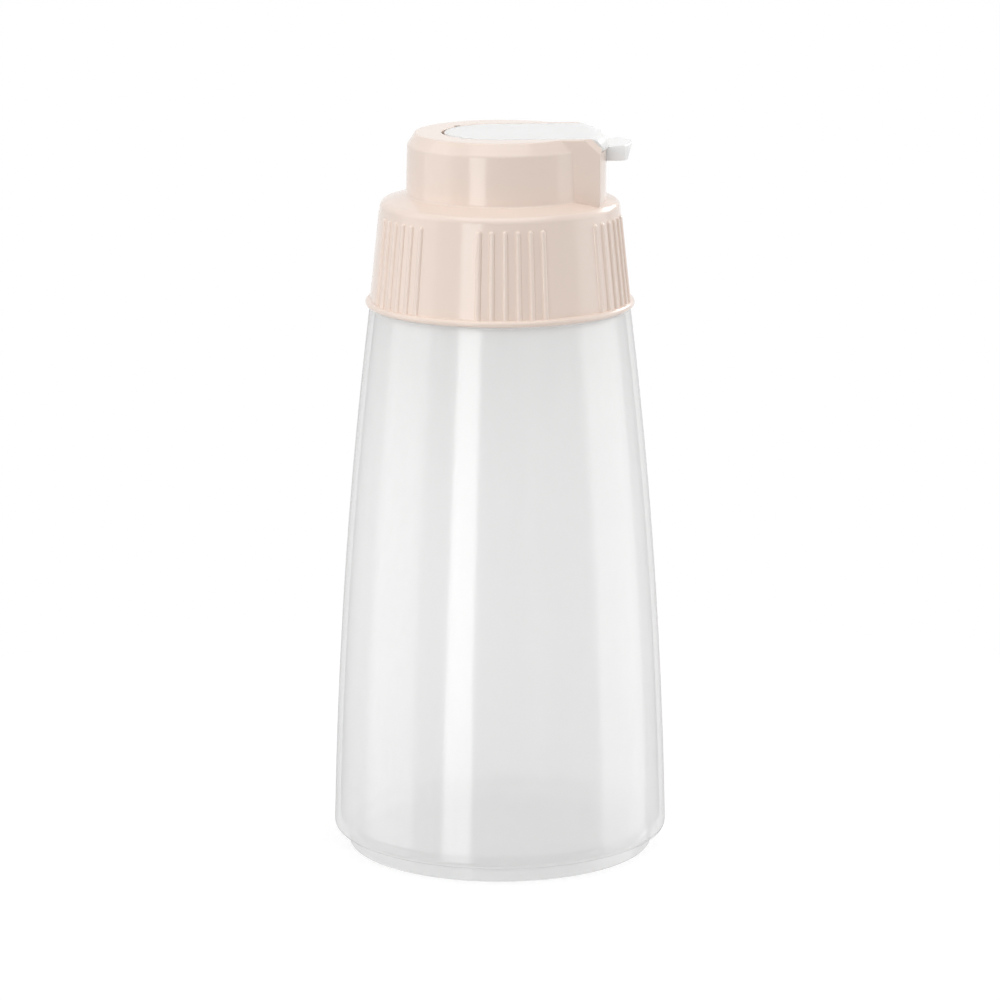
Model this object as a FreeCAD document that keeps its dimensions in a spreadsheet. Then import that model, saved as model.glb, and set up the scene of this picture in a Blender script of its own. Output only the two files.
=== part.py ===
import FreeCAD, Part
import math
import os
import Sketcher

# Squeeze bottle with a ribbed screw cap and a flip lid.
# Millimetres.  +Z is up, the origin is the middle of the resting face, +X points the way the
# pouring nose and the finger tab of the lid point.
# Three solids: bottle, cap, lid.

doc = FreeCAD.newDocument("squeeze_bottle")
os.makedirs("parts", exist_ok=True)

# ---------------------------------------------------------------- driving dimensions
FACET_WAY = FreeCAD.Vector(2.0, 1.3, -0.3)
sheet = doc.addObject("Spreadsheet::Sheet", "dims")
DIMENSIONS = (
    # bottle, outside
    ("foot_radius", "32.85"),
    ("foot_flat", "32.25"),
    ("foot_edge", "0.6"),
    ("foot_top_radius", "32.95"),
    ("foot_top", "3.5"),
    ("step_radius", "34.75"),
    ("step_level", "3.6"),
    ("heel_radius", "1.3"),
    ("belly_radius", "36.04"),
    ("belly_level", "4.9"),
    ("side_arc", "1135"),
    ("side_top_radius", "27.83"),
    ("side_top", "118.0"),
    ("shoulder_edge", "0.7"),
    ("shoulder_radius", "27.13"),
    ("shoulder_level", "118.7"),
    ("neck_radius", "23.6"),
    ("neck_top", "139.2"),
    ("recess_radius", "25.0"),
    ("recess_depth", "4.5"),
    ("recess_arc", "=(recess_radius^2+recess_depth^2)/(2*recess_depth)"),
    # bottle, inside
    ("wall", "1.2"),
    ("neck_bore", "=neck_radius-1.4"),
    ("shoulder_under", "=shoulder_level-wall"),
    ("side_in_top_radius", "26.06"),
    ("side_in_round", "0.6"),
    ("side_in_round_radius", "26.66"),
    ("side_in_top", "=shoulder_under-side_in_round"),
    ("side_arc_in", "=side_arc-wall"),
    ("belly_in_radius", "=belly_radius-wall"),
    ("belly_in_level", "6.2"),
    ("shelf_radius", "31.75"),
    ("shelf_level", "4.6"),
    ("floor_round", "2.4"),
    ("floor_edge", "=shelf_radius-floor_round"),
    ("floor_top", "1.5"),
    ("floor_round_top", "=floor_top+floor_round"),
    ("dome_radius", "25.6"),
    ("dome_top", "=recess_depth+floor_top"),
    ("dome_arc", "=(dome_radius^2+recess_depth^2)/(2*recess_depth)"),
    # cap, turned part
    ("skirt_in_bottom", "26.2"),
    ("skirt_in_top", "24.1"),
    ("cap_bottom", "118.7"),
    ("bead_low_radius", "28.4"),
    ("bead_arc", "0.68"),
    ("bead_high_radius", "28.15"),
    ("bead_top", "119.95"),
    ("skirt_radius", "27.65"),
    ("skirt_foot", "120.05"),
    ("skirt_top_radius", "25.55"),
    ("skirt_top", "139.6"),
    ("shoulder_round", "1.6"),
    ("deck_edge_radius", "24.6"),
    ("deck_edge_level", "141.15"),
    ("foot_ring_radius", "20.25"),
    ("foot_ring", "142.35"),
    ("tower_foot_radius", "19.95"),
    ("tower_foot", "142.8"),
    ("foot_round", "0.5"),
    ("crease_radius", "19.7"),
    ("crease_level", "153.0"),
    ("top_radius", "18.0"),
    ("cap_top", "155.6"),
    ("bore_radius", "18.2"),
    ("bore_top", "148.2"),
    ("ceiling", "=neck_top"),
    # cap, nose
    ("nose_back", "8.0"),
    ("nose_front", "22.45"),
    ("nose_half", "13.7"),
    ("nose_arc", "40.0"),
    ("nose_side_end", "=nose_front-nose_arc+sqrt(nose_arc^2-nose_half^2)"),
    ("nose_bottom", "140.6"),
    ("nose_height", "=cap_top-nose_bottom"),
    ("facet_back", "15.5"),
    ("facet_front", "22.0"),
    ("facet_slope", "0.9375"),
    ("facet_start", "16.6"),
    ("facet_high", "=cap_top+facet_slope*(facet_start-facet_back)"),
    ("facet_low", "=cap_top-facet_slope*(facet_front-facet_start)"),
    ("facet_reach", "2.8"),
    ("above", "=cap_top+2.0"),
    ("nose_in_front", "18.6"),
    ("nose_in_half", "12.2"),
    ("nose_in_height", "8.2"),
    # cap, lid seat
    ("seat_half", "12.4"),
    ("seat_depth", "2.1"),
    ("seat_front", "=nose_front+2.0"),
    ("lip_back", "18.5"),
    ("lip_depth", "3.0"),
    ("notch_half", "6.4"),
    ("notch_depth", "6.0"),
    ("well_front", "4.4"),
    ("well_half", "=sqrt(seat_half^2-well_front^2)"),
    ("well_depth", "5.2"),
    ("relief_back", "2.4"),
    ("relief_front", "17.0"),
    ("relief_half", "10.6"),
    ("relief_height", "3.7"),
    ("pour_hole_radius", "3.0"),
    ("pour_hole_place", "11.0"),
    ("hinge_back", "8.2"),
    ("hinge_level", "154.9"),
    ("hinge_bore_radius", "0.66"),
    ("hinge_bore_width", "23.0"),
    ("hinge_relief_radius", "1.1"),
    ("hinge_relief_width", "19.6"),
    # cap, grip ribs
    ("crease_round", "0.8"),
    ("corner_round", "0.35"),
    ("rim_round", "0.35"),
    ("seat_round", "0.2"),
    ("lid_edge", "0.25"),
    ("tab_edge", "0.35"),
    ("rib_radius", "0.7"),
    ("rib_sunk", "0.2"),
    ("rib_low", "119.6"),
    ("rib_high", "137.8"),
    ("skirt_slope", "=(skirt_radius-skirt_top_radius)/(skirt_top-skirt_foot)"),
    ("rib_low_place", "=skirt_radius+skirt_slope*(skirt_foot-rib_low)-rib_sunk"),
    ("rib_high_place", "=skirt_radius-skirt_slope*(rib_high-skirt_foot)-rib_sunk"),
    ("rib_low_edge", "=rib_low_place+rib_radius"),
    ("rib_high_edge", "=rib_high_place+rib_radius"),
    ("rib_tip", "=rib_high+rib_radius"),
    ("rib_pitch", "6.0"),
    ("ribs_in_group", "6"),
    ("rib_groups", "6"),
    ("rib_first", "16.1"),
    ("rib_group_sweep", "=rib_pitch*(ribs_in_group-1)"),
    # lid
    ("lid_half", "12.1"),
    ("lid_disc_shift", "0.3"),
    ("lid_width", "=2*lid_half"),
    ("lid_back", "13.5"),
    ("lid_front", "22.95"),
    ("lid_top", "=cap_top"),
    ("lid_plate", "1.8"),
    ("lid_under", "=lid_top-lid_plate"),
    ("lid_round", "2.5"),
    ("lid_arc", "33.0"),
    ("lid_side_end", "=lid_front-lid_arc+sqrt(lid_arc^2-lid_half^2)"),
    ("lid_bottom", "152.9"),
    ("lid_apron", "18.9"),
    ("trim", "16.0"),
    ("trim_front", "26.0"),
    ("tab_root", "20.0"),
    ("tab_bottom", "150.0"),
    ("tab_meet", "22.4"),
    ("tab_half", "6.0"),
    ("tab_width", "=2*tab_half"),
    ("tab_low_end", "26.6"),
    ("tab_high_end", "28.0"),
    ("tab_root_top", "152.95"),
    ("tab_end_top", "153.45"),
    ("tab_arc", "10.0"),
    ("tab_clear", "7.0"),
    ("tab_arc_end", "=tab_high_end-tab_arc+sqrt(tab_arc^2-tab_clear^2)"),
    ("tab_beyond", "30.0"),
    ("pin_radius", "0.6"),
    ("pin_width", "22.4"),
)
for row, (alias, text) in enumerate(DIMENSIONS, start=1):
    sheet.set("A%d" % row, alias)
    sheet.set("B%d" % row, text)
    sheet.setAlias("B%d" % row, alias)
doc.recompute()


def size(name):
    """value of a sheet dimension; a leading minus sign mirrors it"""
    if name == 0:
        return 0.0
    if name.startswith("-"):
        return -float(sheet.get(name[1:]))
    return float(sheet.get(name))


def bound(name):
    """expression for a sheet dimension; a leading minus sign mirrors it"""
    return "-dims." + name[1:] if name.startswith("-") else "dims." + name


def plane_of(body, role):
    return [item for item in body.Origin.OriginFeatures if item.Role == role][0]


def new_body(label):
    body = doc.addObject("PartDesign::Body", label)
    body.Label = label
    body.Placement = FreeCAD.Placement()
    return body


def new_sketch(body, name, role, level=None):
    """empty sketch on an origin plane of the body, lifted to a sheet level"""
    sketch = body.newObject("Sketcher::SketchObject", name)
    sketch.AttachmentSupport = [(plane_of(body, role), "")]
    sketch.MapMode = "FlatFace"
    if level:
        sketch.setExpression("AttachmentOffset.Base.z", bound(level))
    return sketch


def pin_point(sketch, edge, end, across, up):
    """fix one end of an edge at sheet distances from the sketch origin"""
    if across == 0:
        sketch.addConstraint(Sketcher.Constraint("PointOnObject", edge, end, -2))
    else:
        index = sketch.addConstraint(Sketcher.Constraint("DistanceX", -1, 1, edge, end, size(across)))
        sketch.setExpression("Constraints[%d]" % index, bound(across))
    if up == 0:
        sketch.addConstraint(Sketcher.Constraint("PointOnObject", edge, end, -1))
    else:
        index = sketch.addConstraint(Sketcher.Constraint("DistanceY", -1, 1, edge, end, size(up)))
        sketch.setExpression("Constraints[%d]" % index, bound(up))


def outline(sketch, corners):
    """closed outline; a corner is (across, up) or (across, up, radius, turn) where the edge that
    leaves it is an arc, turn 1 with its centre on the left of the way round, -1 on the right"""
    count = len(corners)
    ends = []
    for i, corner in enumerate(corners):
        following = corners[(i + 1) % count]
        start = FreeCAD.Vector(size(corner[0]), size(corner[1]), 0)
        stop = FreeCAD.Vector(size(following[0]), size(following[1]), 0)
        if len(corner) == 2:
            edge = sketch.addGeometry(Part.LineSegment(start, stop), False)
            ends.append((edge, 1, 2))
            continue
        radius = size(corner[2])
        turn = corner[3]
        half = (stop - start) * 0.5
        height = math.sqrt(max(radius ** 2 - half.Length ** 2, 0.0))
        normal = FreeCAD.Vector(-half.y, half.x, 0).normalize()
        centre = start + half + normal * (turn * height)
        first, last = (start, stop) if turn > 0 else (stop, start)
        angles = [math.atan2(p.y - centre.y, p.x - centre.x) for p in (first, last)]
        if angles[1] < angles[0]:
            angles[1] += 2 * math.pi
        circle = Part.Circle(centre, FreeCAD.Vector(0, 0, 1), radius)
        edge = sketch.addGeometry(Part.ArcOfCircle(circle, angles[0], angles[1]), False)
        ends.append((edge, 1, 2) if turn > 0 else (edge, 2, 1))
    for i in range(count):
        here = ends[i]
        after = ends[(i + 1) % count]
        sketch.addConstraint(Sketcher.Constraint("Coincident", here[0], here[2], after[0], after[1]))
    for i, corner in enumerate(corners):
        pin_point(sketch, ends[i][0], ends[i][1], corner[0], corner[1])
        if len(corner) == 2:
            continue
        if corner[1] == corner[2]:
            # half disc: its centre stands straight below the start of the arc
            sketch.addConstraint(Sketcher.Constraint("Vertical", ends[i][0], 3, ends[i][0], ends[i][1]))
            continue
        index = sketch.addConstraint(Sketcher.Constraint("Radius", ends[i][0], size(corner[2])))
        sketch.setExpression("Constraints[%d]" % index, bound(corner[2]))


def disc(sketch, across, up, radius):
    """circle at sheet distances from the sketch origin"""
    centre = FreeCAD.Vector(size(across), size(up), 0)
    edge = sketch.addGeometry(Part.Circle(centre, FreeCAD.Vector(0, 0, 1), size(radius)), False)
    pin_point(sketch, edge, 3, across, up)
    index = sketch.addConstraint(Sketcher.Constraint("Radius", edge, size(radius)))
    sketch.setExpression("Constraints[%d]" % index, bound(radius))


def turned(body, name, sketch, axis="V_Axis"):
    """full solid of revolution about the upright axis or an edge of the sketch"""
    feature = body.newObject("PartDesign::Revolution", name)
    feature.Profile = sketch
    feature.ReferenceAxis = (sketch, [axis])
    feature.Angle = 360.0
    return feature


def extruded(body, kind, name, sketch, length, midplane=False, reverse=False):
    """pad or pocket of a sketch by a sheet length"""
    feature = body.newObject("PartDesign::" + kind, name)
    feature.Profile = sketch
    feature.Type = "Length"
    feature.setExpression("Length", bound(length))
    feature.Midplane = midplane
    feature.Reversed = reverse
    return feature


# ---------------------------------------------------------------- bottle
bottle = new_body("bottle")
bottle_profile = new_sketch(bottle, "bottle_profile", "XZ_Plane")
outline(bottle_profile, [
    (0, "recess_depth", "recess_arc", -1),
    ("recess_radius", 0),
    ("foot_flat", 0, "foot_edge", 1),
    ("foot_radius", "foot_edge"),
    ("foot_top_radius", "foot_top"),
    ("step_radius", "step_level", "heel_radius", 1),
    ("belly_radius", "belly_level", "side_arc", 1),
    ("side_top_radius", "side_top", "shoulder_edge", 1),
    ("shoulder_radius", "shoulder_level"),
    ("neck_radius", "shoulder_level"),
    ("neck_radius", "neck_top"),
    ("neck_bore", "neck_top"),
    ("neck_bore", "shoulder_under"),
    ("side_in_top_radius", "shoulder_under", "side_in_round", -1),
    ("side_in_round_radius", "side_in_top", "side_arc_in", -1),
    ("belly_in_radius", "belly_in_level"),
    ("shelf_radius", "shelf_level"),
    ("shelf_radius", "floor_round_top", "floor_round", -1),
    ("floor_edge", "floor_top"),
    ("dome_radius", "floor_top", "dome_arc", 1),
    (0, "dome_top"),
])
turned(bottle, "bottle_shell", bottle_profile)

# ---------------------------------------------------------------- cap
cap = new_body("cap")
cap_profile = new_sketch(cap, "cap_profile", "XZ_Plane")
outline(cap_profile, [
    ("skirt_in_bottom", "cap_bottom"),
    ("bead_low_radius", "cap_bottom", "bead_arc", 1),
    ("bead_high_radius", "bead_top"),
    ("skirt_radius", "skirt_foot"),
    ("skirt_top_radius", "skirt_top", "shoulder_round", 1),
    ("deck_edge_radius", "deck_edge_level"),
    ("foot_ring_radius", "foot_ring", "foot_round", -1),
    ("tower_foot_radius", "tower_foot"),
    ("crease_radius", "crease_level"),
    ("top_radius", "cap_top"),
    (0, "cap_top"),
    (0, "bore_top"),
    ("bore_radius", "bore_top"),
    ("bore_radius", "ceiling"),
    ("skirt_in_top", "ceiling"),
])
turned(cap, "cap_shell", cap_profile)

nose_plan = new_sketch(cap, "nose_plan", "XY_Plane", "nose_bottom")
outline(nose_plan, [
    ("nose_back", "-nose_half"),
    ("nose_side_end", "-nose_half", "nose_arc", 1),
    ("nose_side_end", "nose_half"),
    ("nose_back", "nose_half"),
])
extruded(cap, "Pad", "nose_block", nose_plan, "nose_height")

# front corner of each side wall: a facet that looks up, forwards and outwards
nose_slope = new_sketch(cap, "nose_slope", "XZ_Plane", "nose_half")
outline(nose_slope, [
    ("facet_back", "facet_high"),
    ("facet_front", "facet_low"),
    ("facet_front", "above"),
    ("facet_back", "above"),
])
nose_facet = extruded(cap, "Pocket", "nose_facet", nose_slope, "facet_reach")
nose_facet.UseCustomVector = True
nose_facet.Direction = FACET_WAY
nose_facet.AlongSketchNormal = False
nose_facets = cap.newObject("PartDesign::Mirrored", "nose_facets")
nose_facets.Originals = [nose_facet]
nose_facets.MirrorPlane = (plane_of(cap, "XZ_Plane"), [""])
cap.Tip = nose_facets

nose_inside = new_sketch(cap, "nose_inside", "XY_Plane", "ceiling")
outline(nose_inside, [
    (0, "-nose_in_half"),
    ("nose_in_front", "-nose_in_half"),
    ("nose_in_front", "nose_in_half"),
    (0, "nose_in_half"),
])
extruded(cap, "Pocket", "nose_hollow", nose_inside, "nose_in_height", reverse=True)

seat_plan = new_sketch(cap, "seat_plan", "XY_Plane", "cap_top")
outline(seat_plan, [
    (0, "-seat_half"),
    ("seat_front", "-seat_half"),
    ("seat_front", "seat_half"),
    (0, "seat_half", "seat_half", 1),
])
extruded(cap, "Pocket", "lid_seat", seat_plan, "seat_depth")

lip_plan = new_sketch(cap, "lip_plan", "XY_Plane", "cap_top")
outline(lip_plan, [
    ("lip_back", "-seat_half"),
    ("seat_front", "-seat_half"),
    ("seat_front", "seat_half"),
    ("lip_back", "seat_half"),
])
extruded(cap, "Pocket", "front_lip", lip_plan, "lip_depth")

notch_plan = new_sketch(cap, "notch_plan", "XY_Plane", "cap_top")
outline(notch_plan, [
    ("lip_back", "-notch_half"),
    ("seat_front", "-notch_half"),
    ("seat_front", "notch_half"),
    ("lip_back", "notch_half"),
])
extruded(cap, "Pocket", "tab_notch", notch_plan, "notch_depth")

well_plan = new_sketch(cap, "well_plan", "XY_Plane", "cap_top")
outline(well_plan, [
    ("-well_front", "-well_half"),
    ("-well_front", "well_half", "seat_half", 1),
])
extruded(cap, "Pocket", "heel_well", well_plan, "well_depth")

relief_plan = new_sketch(cap, "relief_plan", "XY_Plane", "bore_top")
outline(relief_plan, [
    ("-relief_back", "-relief_half"),
    ("relief_front", "-relief_half"),
    ("relief_front", "relief_half"),
    ("-relief_back", "relief_half"),
])
extruded(cap, "Pocket", "deck_relief", relief_plan, "relief_height", reverse=True)

pour_plan = new_sketch(cap, "pour_plan", "XY_Plane", "cap_top")
disc(pour_plan, "pour_hole_place", 0, "pour_hole_radius")
extruded(cap, "Pocket", "pour_hole", pour_plan, "notch_depth")

bore_side = new_sketch(cap, "bore_side", "XZ_Plane")
disc(bore_side, "-hinge_back", "hinge_level", "hinge_bore_radius")
extruded(cap, "Pocket", "hinge_bores", bore_side, "hinge_bore_width", midplane=True)

relief_side = new_sketch(cap, "relief_side", "XZ_Plane")
disc(relief_side, "-hinge_back", "hinge_level", "hinge_relief_radius")
extruded(cap, "Pocket", "hinge_relief", relief_side, "hinge_relief_width", midplane=True)

doc.recompute()


def edges_where(shape, wanted):
    """names of the edges of a shape whose box and length pass a test"""
    names = []
    for number, edge in enumerate(shape.Edges, start=1):
        if wanted(edge, edge.BoundBox):
            names.append("Edge%d" % number)
    return names


def softened(body, name, wanted):
    """fillet of the edges of the body's last feature that pass a test, by the sheet radius of
    the same name"""
    base = body.Tip
    feature = body.newObject("PartDesign::Fillet", name)
    feature.Base = (base, edges_where(base.Shape, wanted))
    feature.setExpression("Radius", bound(name))
    doc.recompute()


def near(value, name, slack=0.02):
    return abs(value - size(name)) < slack


def crease_edge(edge, box):
    return near(box.ZMin, "crease_level") and near(box.ZMax, "crease_level") and edge.Length > 20.0


def middle_of(edge):
    return edge.valueAt(0.5 * (edge.FirstParameter + edge.LastParameter))


def on_top(box):
    return near(box.ZMin, "cap_top") and near(box.ZMax, "cap_top")


def rim_edge(edge, box):
    """outer top edges of the tower and of the nose's side walls"""
    middle = middle_of(edge)
    tower = on_top(box) and near(math.hypot(middle.x, middle.y), "top_radius")
    side = near(abs(middle.y), "nose_half") and box.YLength < 0.02 and box.XLength > 1.0
    return tower or (side and middle.z > size("crease_level") and box.ZMax > size("cap_top") - 0.1)


def front_corner(edge, box):
    """upright edges between the nose's sides and its front"""
    upright = box.ZLength > 5.0 and box.XLength < 0.05
    return upright and near(abs(middle_of(edge).y), "nose_half") and box.XMin > size("lip_back")


def seat_edge(edge, box):
    """top edges of the lid's seat"""
    middle = middle_of(edge)
    back = near(math.hypot(middle.x, middle.y), "seat_half")
    side = near(abs(middle.y), "seat_half") and box.YLength < 0.02 and edge.Length > 1.0
    return on_top(box) and (back or side)


for round_name, wanted_edge in (
        ("crease_round", crease_edge),
        ("corner_round", front_corner),
        ("rim_round", rim_edge),
        ("seat_round", seat_edge)):
    softened(cap, round_name, wanted_edge)

rib_side = new_sketch(cap, "rib_side", "XZ_Plane")
rib_side.AttachmentOffset = FreeCAD.Placement(
    FreeCAD.Vector(0, 0, 0), FreeCAD.Rotation(FreeCAD.Vector(0, 1, 0), size("rib_first")))
outline(rib_side, [
    ("rib_low_place", "rib_low"),
    ("rib_low_edge", "rib_low"),
    ("rib_high_edge", "rib_high", "rib_radius", 1),
    ("rib_high_place", "rib_tip"),
])
rib = turned(cap, "rib", rib_side, "Edge4")
rib_rows = cap.newObject("PartDesign::MultiTransform", "rib_rows")
rib_rows.Originals = [rib]
group = cap.newObject("PartDesign::PolarPattern", "rib_group")
group.Axis = (plane_of(cap, "Z_Axis"), [""])
group.setExpression("Angle", bound("rib_group_sweep"))
round_cap = cap.newObject("PartDesign::PolarPattern", "rib_round_cap")
round_cap.Axis = (plane_of(cap, "Z_Axis"), [""])
round_cap.Angle = 360.0
rib_rows.Transformations = [group, round_cap]
cap.Tip = rib_rows
group.Occurrences = int(size("ribs_in_group"))
round_cap.Occurrences = int(size("rib_groups"))

# ---------------------------------------------------------------- lid
lid = new_body("lid")
lid_side = new_sketch(lid, "lid_side", "XZ_Plane")
outline(lid_side, [
    ("-lid_back", "lid_under"),
    ("lid_apron", "lid_under"),
    ("lid_apron", "lid_bottom"),
    ("lid_front", "lid_bottom"),
    ("lid_front", "lid_top"),
    ("-lid_back", "lid_top"),
])
extruded(lid, "Pad", "lid_plate_pad", lid_side, "lid_width", midplane=True)

lid_plan = new_sketch(lid, "lid_plan", "XY_Plane", "above")
outline(lid_plan, [
    ("-trim", "-trim"),
    ("trim_front", "-trim"),
    ("trim_front", "trim"),
    ("-trim", "trim"),
])
outline(lid_plan, [
    ("lid_disc_shift", "-lid_half"),
    ("lid_side_end", "-lid_half", "lid_arc", 1),
    ("lid_side_end", "lid_half"),
    ("lid_disc_shift", "lid_half", "lid_half", 1),
])
extruded(lid, "Pocket", "lid_trim", lid_plan, "trim")
doc.recompute()


def lid_front_edge(edge, box):
    """top edge of the lid's front"""
    return near(box.ZMin, "lid_top") and near(box.ZMax, "lid_top") and box.XMin > size("lid_side_end") - 0.5


def lid_rim(edge, box):
    """top edges of the lid's sides and round end, down to the front"""
    front = box.YLength > size("lid_half") and box.XMin > size("lid_apron") - 5.0
    return near(box.ZMax, "lid_top") and box.ZMin > size("lid_bottom") and not front


for round_name, wanted_edge in (
        ("lid_round", lid_front_edge),
        ("lid_edge", lid_rim)):
    softened(lid, round_name, wanted_edge)

tab_side = new_sketch(lid, "tab_side", "XZ_Plane")
outline(tab_side, [
    ("tab_root", "tab_bottom"),
    ("tab_low_end", "tab_bottom"),
    ("tab_high_end", "tab_end_top"),
    ("tab_meet", "tab_root_top"),
    ("tab_root", "lid_under"),
])
extruded(lid, "Pad", "finger_tab", tab_side, "tab_width", midplane=True)

tab_plan = new_sketch(lid, "tab_plan", "XY_Plane", "above")
outline(tab_plan, [
    ("tab_arc_end", "-tab_clear", "tab_arc", 1),
    ("tab_arc_end", "tab_clear"),
    ("tab_beyond", "tab_clear"),
    ("tab_beyond", "-tab_clear"),
])
extruded(lid, "Pocket", "tab_end", tab_plan, "trim")
doc.recompute()


def tab_rim(edge, box):
    """edges round the end face of the finger tab"""
    return box.XMin > size("tab_arc_end") - 0.5


softened(lid, "tab_edge", tab_rim)

pin_side = new_sketch(lid, "pin_side", "XZ_Plane")
disc(pin_side, "-hinge_back", "hinge_level", "pin_radius")
extruded(lid, "Pad", "hinge_pins", pin_side, "pin_width", midplane=True)

# ---------------------------------------------------------------- check and write
doc.recompute()
for item in doc.Objects:
    if "Invalid" in item.State or "Error" in item.State:
        raise RuntimeError("%s is not valid" % item.Label)
for node in (bottle, cap, lid):
    shape = node.Shape
    if shape.isNull() or not shape.isValid() or len(shape.Solids) != 1:
        raise RuntimeError("%s has no single valid solid" % node.Label)
    shape.exportStep("parts/%s.step" % node.Label)
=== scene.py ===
import math

import bpy
import numpy as np
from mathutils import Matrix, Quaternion, Vector

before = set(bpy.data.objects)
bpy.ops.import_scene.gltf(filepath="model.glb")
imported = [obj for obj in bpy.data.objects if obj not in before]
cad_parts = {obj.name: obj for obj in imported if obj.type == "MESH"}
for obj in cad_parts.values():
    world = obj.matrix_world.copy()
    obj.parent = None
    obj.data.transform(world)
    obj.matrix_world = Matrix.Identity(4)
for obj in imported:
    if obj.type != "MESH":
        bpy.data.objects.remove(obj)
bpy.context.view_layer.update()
scene = bpy.context.scene

# ------------------------------------------------------------------ sizes and values, in metres unless said
CAMERA_PLACE = (-0.0703, -0.9574, 0.2926)
CAMERA_TARGET = (0.0, 0.0, 0.0757)
CAMERA_LENS_MM = 164.5
CAMERA_SENSOR_MM = 36.0
CAMERA_AZIMUTH = math.degrees(math.atan2(CAMERA_PLACE[0], -CAMERA_PLACE[1]))    # from straight in front
CAMERA_NEAR = 0.05
CAMERA_FAR = 20.0

POLYPROPYLENE_IOR = 1.49
CLOUD_MM = 11.1             # tone clouds of a moulded part, across
CLOUD_DEPTH = 0.015         # how much darker their dark places are
PEEL_MM = 0.7               # orange-peel, across, coarser than real so that it holds on screen
PEEL_DEPTH = 0.00005
PEEL_STRENGTH = 0.1
WAVE_MM = 16.7              # waves of the blown wall, across
WAVE_DEPTH = 0.0003
WAVE_STRENGTH = 0.06
SOAK_EVEN = (1.0, 1.0, 1.0) # red, green and blue sink in alike, so that the soak keeps the colour
OUTLINE_SHADE_NARROW = 6.0           # higher keeps the painted outline shade closer to the outline
BOTTOM_SHADE_HIGH = 0.0068   # the painted bottom shade fades in between these two heights
BOTTOM_SHADE_LOW = 0.0058
BOTTOM_SHADE_REACH = 0.0318       # and ends this far from the axis, just inside the foot's outer wall
BOTTOM_SHADE_BLEND = 0.0003
BLASTED_ROUGHNESS = 0.13    # the skin that a sand-blasted mould leaves
BLASTED_GLOSS = 0.12        # the most it mirrors, even at a grazing look

FLOOR_RADIUS = 0.2
FLOOR_SIDES = 96
FLOOR_DROP = 0.0002         # keeps the paper from lying in the same plane as the foot
FLOOR_GLOW = 0.8            # lifts the paper to white where it is seen, and leaves the shadow
SKY_LIGHT = 0.35            # the studio's fill light
SKY_WHITE = 1.0             # the backdrop where it is seen
LAMP_MIDDLE = Vector((0.0, 0.0, 0.08))

# inputs and output of a Mix node that mixes colours
MIX_SHARE = 0
MIX_FIRST = 6
MIX_SECOND = 7
MIX_COLOUR = 2


def linear(hex_colour):
    """sRGB hex to linear red, green, blue and an alpha of 1"""
    parts = [int(hex_colour[i:i + 2], 16) / 255 for i in (1, 3, 5)]
    return tuple(c / 12.92 if c <= 0.04045 else ((c + 0.055) / 1.055) ** 2.4 for c in parts) + (1.0,)


def node(tree, kind, inputs=None, **settings):
    """adds a shader node with its settings; inputs gives each input, by name or number, a value or the
    output that is linked to it"""
    made = tree.nodes.new(kind)
    for name, value in settings.items():
        setattr(made, name, value)
    for place, value in (inputs or {}).items():
        if isinstance(value, bpy.types.NodeSocket):
            tree.links.new(value, made.inputs[place])
        else:
            made.inputs[place].default_value = value
    return made


def new_material(name):
    made = bpy.data.materials.new(name)
    made.use_nodes = True
    made.node_tree.nodes.clear()
    return made, made.node_tree


def pattern_scale(across_mm):
    """noise scale on Object coordinates for features this many millimetres across"""
    return 1000.0 / across_mm


# ------------------------------------------------------------------ camera
def set_camera():
    """a long lens that looks slightly down, from a little to the left of straight in front"""
    camera = bpy.data.objects.new("camera", bpy.data.cameras.new("camera"))
    camera.data.sensor_width = CAMERA_SENSOR_MM
    camera.data.lens = CAMERA_LENS_MM
    camera.data.clip_start = CAMERA_NEAR
    camera.data.clip_end = CAMERA_FAR
    camera.location = CAMERA_PLACE
    aim = Vector(CAMERA_TARGET) - Vector(CAMERA_PLACE)
    camera.rotation_euler = aim.to_track_quat("-Z", "Y").to_euler()
    scene.collection.objects.link(camera)
    scene.camera = camera
    scene.view_settings.view_transform = "Standard"


# ------------------------------------------------------------------ materials
def moulded_polypropylene(name, colour, roughness, soak, soak_depth):
    """Injection-moulded polypropylene.  The polished mould leaves a satin skin, and the melt leaves a
    faint orange-peel and very slight cloudy differences of tone.  The share soak of the light sinks in
    as far as soak_depth, which keeps the shadows in the corners soft."""
    made, tree = new_material(name)
    place = node(tree, "ShaderNodeTexCoord").outputs["Object"]
    cloud = node(tree, "ShaderNodeTexNoise",
                 {"Vector": place, "Scale": pattern_scale(CLOUD_MM), "Detail": 2.0})
    base = linear(colour)
    darker = tuple(c * (1.0 - CLOUD_DEPTH) for c in base[:3]) + (1.0,)
    tone = node(tree, "ShaderNodeMix",
                {MIX_SHARE: cloud.outputs["Fac"], MIX_FIRST: darker, MIX_SECOND: base}, data_type="RGBA")
    peel = node(tree, "ShaderNodeTexNoise",
                {"Vector": place, "Scale": pattern_scale(PEEL_MM), "Detail": 2.0})
    relief = node(tree, "ShaderNodeBump",
                  {"Height": peel.outputs["Fac"], "Strength": PEEL_STRENGTH, "Distance": PEEL_DEPTH})
    skin = node(tree, "ShaderNodeBsdfPrincipled",
                {"Base Color": tone.outputs[MIX_COLOUR], "Normal": relief.outputs["Normal"],
                 "Roughness": roughness, "IOR": POLYPROPYLENE_IOR, "Subsurface Weight": soak,
                 "Subsurface Radius": SOAK_EVEN, "Subsurface Scale": soak_depth})
    node(tree, "ShaderNodeOutputMaterial", {"Surface": skin.outputs["BSDF"]})
    return made


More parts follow.
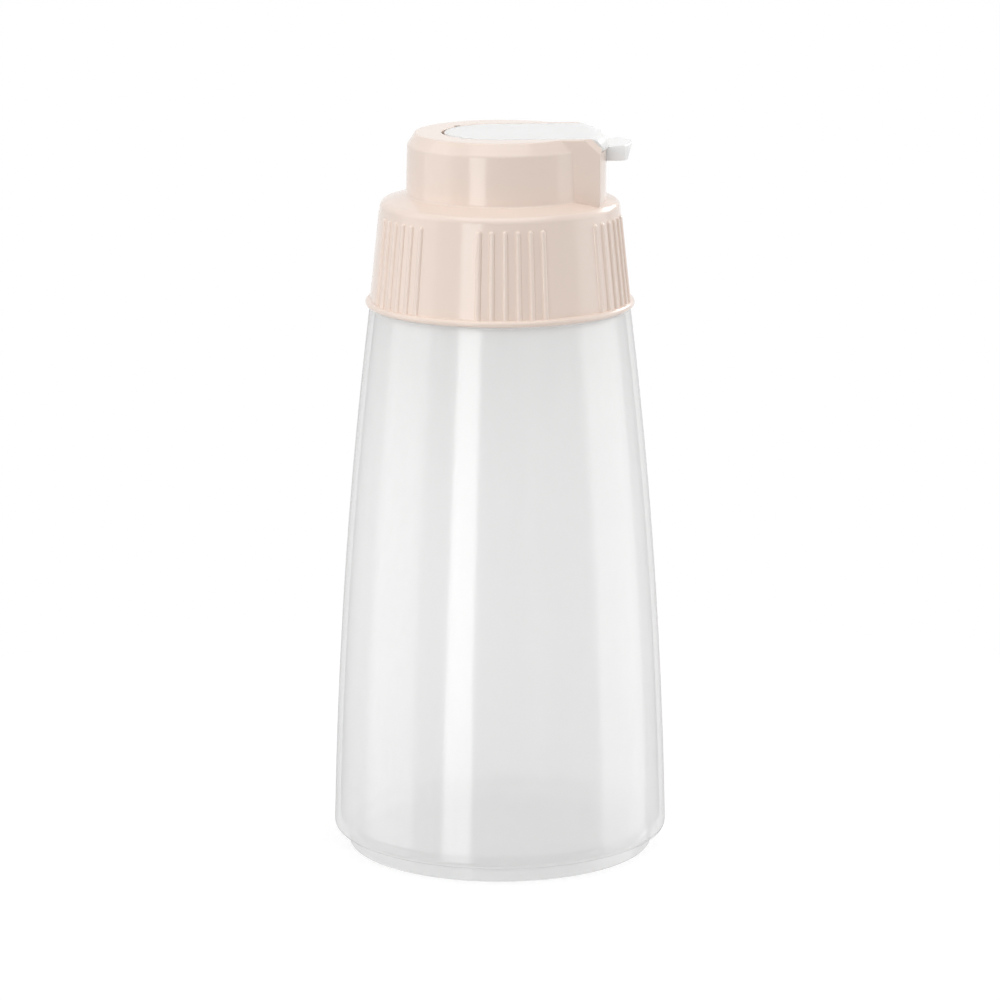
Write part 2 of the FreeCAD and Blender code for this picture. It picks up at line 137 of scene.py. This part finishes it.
def bottle_tone(tree, place, colour, outline_shade_colour, bottom_shade_colour):
    """Colour of the milky wall, with painted shade.  It is darker where it is seen edge-on, a painted
    outline shade that stands in for the dimmer look where the way through the wall is long, as in thick
    glass, and darker over the bottom, a painted shade that stands in for the shaded recess and floor seen
    through the wall."""
    # painted shade: the wall's colour turns to a darker grey towards the outline, where the wall is seen
    # edge-on
    facing = node(tree, "ShaderNodeLayerWeight", {"Blend": 0.5})
    edge = node(tree, "ShaderNodeMath", {0: facing.outputs["Facing"], 1: OUTLINE_SHADE_NARROW}, operation="POWER")
    wall = node(tree, "ShaderNodeMix",
                {MIX_SHARE: edge.outputs[0], MIX_FIRST: linear(colour), MIX_SECOND: linear(outline_shade_colour)},
                data_type="RGBA")
    # painted shade: the colour turns to a darker grey over the bottom, inside the foot
    spot = node(tree, "ShaderNodeSeparateXYZ", {"Vector": place})
    low = node(tree, "ShaderNodeMapRange",
               {"Value": spot.outputs["Z"], "From Min": BOTTOM_SHADE_HIGH, "From Max": BOTTOM_SHADE_LOW})
    flat = node(tree, "ShaderNodeCombineXYZ", {"X": spot.outputs["X"], "Y": spot.outputs["Y"]})
    reach = node(tree, "ShaderNodeVectorMath", {0: flat.outputs[0]}, operation="LENGTH")
    inner = node(tree, "ShaderNodeMapRange",
                 {"Value": reach.outputs["Value"], "From Min": BOTTOM_SHADE_REACH + BOTTOM_SHADE_BLEND,
                  "From Max": BOTTOM_SHADE_REACH})
    bottom = node(tree, "ShaderNodeMath", {0: low.outputs[0], 1: inner.outputs[0]}, operation="MULTIPLY")
    return node(tree, "ShaderNodeMix",
                {MIX_SHARE: bottom.outputs[0], MIX_FIRST: wall.outputs[MIX_COLOUR],
                 MIX_SECOND: linear(bottom_shade_colour)}, data_type="RGBA").outputs[MIX_COLOUR]


def blown_polypropylene(name, colour, outline_shade_colour, bottom_shade_colour, milk, clear):
    """Natural polypropylene, extrusion blow-moulded.  The unfilled resin is milky: most light is
    scattered in the wall, the share milk of it comes out on the other side, and the share clear goes
    straight through, so that the bottom shows faintly.  The skin waves a little from blowing, and its
    gloss is dulled by a sand-blasted mould."""
    made, tree = new_material(name)
    place = node(tree, "ShaderNodeTexCoord").outputs["Object"]
    tone = bottle_tone(tree, place, colour, outline_shade_colour, bottom_shade_colour)
    scattered = node(tree, "ShaderNodeBsdfDiffuse", {"Color": tone})
    passed = node(tree, "ShaderNodeBsdfTranslucent", {"Color": tone})
    milky = node(tree, "ShaderNodeMixShader", {0: milk, 1: scattered.outputs[0], 2: passed.outputs[0]})
    straight = node(tree, "ShaderNodeBsdfTransparent", {"Color": linear("#ffffff")})
    wall = node(tree, "ShaderNodeMixShader", {0: clear, 1: milky.outputs[0], 2: straight.outputs[0]})
    wave = node(tree, "ShaderNodeTexNoise",
                {"Vector": place, "Scale": pattern_scale(WAVE_MM), "Detail": 1.0})
    relief = node(tree, "ShaderNodeBump",
                  {"Height": wave.outputs["Fac"], "Strength": WAVE_STRENGTH, "Distance": WAVE_DEPTH})
    sheen = node(tree, "ShaderNodeBsdfAnisotropic",
                 {"Normal": relief.outputs["Normal"], "Color": linear("#ffffff"),
                  "Roughness": BLASTED_ROUGHNESS})
    fresnel = node(tree, "ShaderNodeFresnel", {"IOR": POLYPROPYLENE_IOR})
    gloss = node(tree, "ShaderNodeMath", {0: fresnel.outputs[0], 1: BLASTED_GLOSS}, operation="MINIMUM")
    skin = node(tree, "ShaderNodeMixShader", {0: gloss.outputs[0], 1: wall.outputs[0], 2: sheen.outputs[0]})
    node(tree, "ShaderNodeOutputMaterial", {"Surface": skin.outputs[0]})
    return made


def dress(name, material):
    """gives a CAD node its finish"""
    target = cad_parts[name]
    target.data.materials.clear()
    target.data.materials.append(material)


# ------------------------------------------------------------------ floor, world and lamps
def seen_rays(tree):
    """1 for rays from the camera, a shiny surface or a clear wall, 0 for those that only light"""
    path = node(tree, "ShaderNodeLightPath")
    mirrored = node(tree, "ShaderNodeMath",
                    {0: path.outputs["Is Glossy Ray"], 1: path.outputs["Is Transmission Ray"]},
                    operation="MAXIMUM")
    return node(tree, "ShaderNodeMath", {0: path.outputs["Is Camera Ray"], 1: mirrored.outputs[0]},
                operation="MAXIMUM").outputs[0]


def floor_paper():
    """Uncoated white paper.  Where it is seen it comes out white and keeps the shadow; for the light it
    is plain pale grey; and it is left out of reflections, so that the low strip lamp, which stands
    partly under the table's level, still draws its highlight on the cap and the bottle."""
    made, tree = new_material("floor_white_paper")
    paper = node(tree, "ShaderNodeBsdfDiffuse", {"Color": linear("#e4e4e4")})
    catch = node(tree, "ShaderNodeBsdfDiffuse", {"Color": linear("#8a8a8a")})
    glow = node(tree, "ShaderNodeEmission", {"Color": linear("#ffffff"), "Strength": FLOOR_GLOW})
    lifted = node(tree, "ShaderNodeAddShader", {0: catch.outputs[0], 1: glow.outputs[0]})
    lit = node(tree, "ShaderNodeMixShader", {0: seen_rays(tree), 1: paper.outputs[0], 2: lifted.outputs[0]})
    path = node(tree, "ShaderNodeLightPath")
    unseen = node(tree, "ShaderNodeBsdfTransparent", {"Color": linear("#ffffff")})
    whole = node(tree, "ShaderNodeMixShader",
                 {0: path.outputs["Is Glossy Ray"], 1: lit.outputs[0], 2: unseen.outputs[0]})
    node(tree, "ShaderNodeOutputMaterial", {"Surface": whole.outputs[0]})
    return made


def lay_floor():
    """a flat disc of paper: corners at equal steps round a circle"""
    around = np.linspace(0.0, 2.0 * np.pi, FLOOR_SIDES, endpoint=False)
    level = np.full(FLOOR_SIDES, -FLOOR_DROP)
    rim = np.stack([FLOOR_RADIUS * np.cos(around), FLOOR_RADIUS * np.sin(around), level], axis=1)
    mesh = bpy.data.meshes.new("floor")
    mesh.from_pydata(rim.tolist(), [], [tuple(range(FLOOR_SIDES))])
    mesh.materials.append(floor_paper())
    floor = bpy.data.objects.new("floor", mesh)
    scene.collection.objects.link(floor)


def fill_sky():
    """soft white light from all round, and a plain white backdrop where it is seen"""
    world = bpy.data.worlds.new("studio")
    scene.world = world
    world.use_nodes = True
    tree = world.node_tree
    tree.nodes.clear()
    soft = node(tree, "ShaderNodeBackground", {"Color": linear("#ffffff"), "Strength": SKY_LIGHT})
    white = node(tree, "ShaderNodeBackground", {"Color": linear("#ffffff"), "Strength": SKY_WHITE})
    pick = node(tree, "ShaderNodeMixShader", {0: seen_rays(tree), 1: soft.outputs[0], 2: white.outputs[0]})
    node(tree, "ShaderNodeOutputWorld", {"Surface": pick.outputs[0]})


def softbox(name, azimuth, elevation, distance, size, power, lean=0.0):
    """area lamp turned to the middle of the bottle, its size as width and height, its power in watts and
    its angles in degrees; azimuth 0 is the camera's side, positive to the right, and lean turns it in
    its own plane"""
    lamp = bpy.data.lights.new(name, "AREA")
    lamp.shape = "RECTANGLE"
    lamp.size, lamp.size_y = size
    lamp.energy = power
    turn = math.radians(azimuth + CAMERA_AZIMUTH)
    rise = math.radians(elevation)
    way = Vector((math.sin(turn) * math.cos(rise), -math.cos(turn) * math.cos(rise), math.sin(rise)))
    facing = (-way).to_track_quat("-Z", "Y")
    made = bpy.data.objects.new(name, lamp)
    made.location = LAMP_MIDDLE + distance * way
    made.rotation_euler = (facing @ Quaternion((0, 0, 1), math.radians(lean))).to_euler()
    scene.collection.objects.link(made)


# ------------------------------------------------------------------ the bottle in its studio
# the edge and bottom colours are painted shade: a darker grey at the outline and over the bottom
dress("bottle", blown_polypropylene("polypropylene_natural_blown", colour="#f6f6f6", outline_shade_colour="#8c8c8c",
                                    bottom_shade_colour="#dedede", milk=0.45, clear=0.57))
dress("cap", moulded_polypropylene("polypropylene_blush_moulded", colour="#f5e3d7", roughness=0.15,
                                   soak=0.1, soak_depth=0.0008))
dress("lid", moulded_polypropylene("polypropylene_white_moulded", colour="#f9f9f7", roughness=0.22,
                                   soak=0.7, soak_depth=0.004))

set_camera()
lay_floor()
fill_sky()
softbox("softbox_top", azimuth=0, elevation=73, distance=1.3, size=(1.4, 1.4), power=9.5)
softbox("softbox_back", azimuth=140, elevation=24, distance=1.3, size=(0.7, 0.4), power=3.6)
softbox("softbox_left", azimuth=-84, elevation=14, distance=1.4, size=(1.2, 1.8), power=5.2)
softbox("softbox_right", azimuth=98, elevation=2, distance=1.3, size=(1.1, 1.7), power=6.4)
softbox("strip_front", azimuth=-28, elevation=-7, distance=1.5, size=(0.5, 0.85), power=4.9, lean=-12)
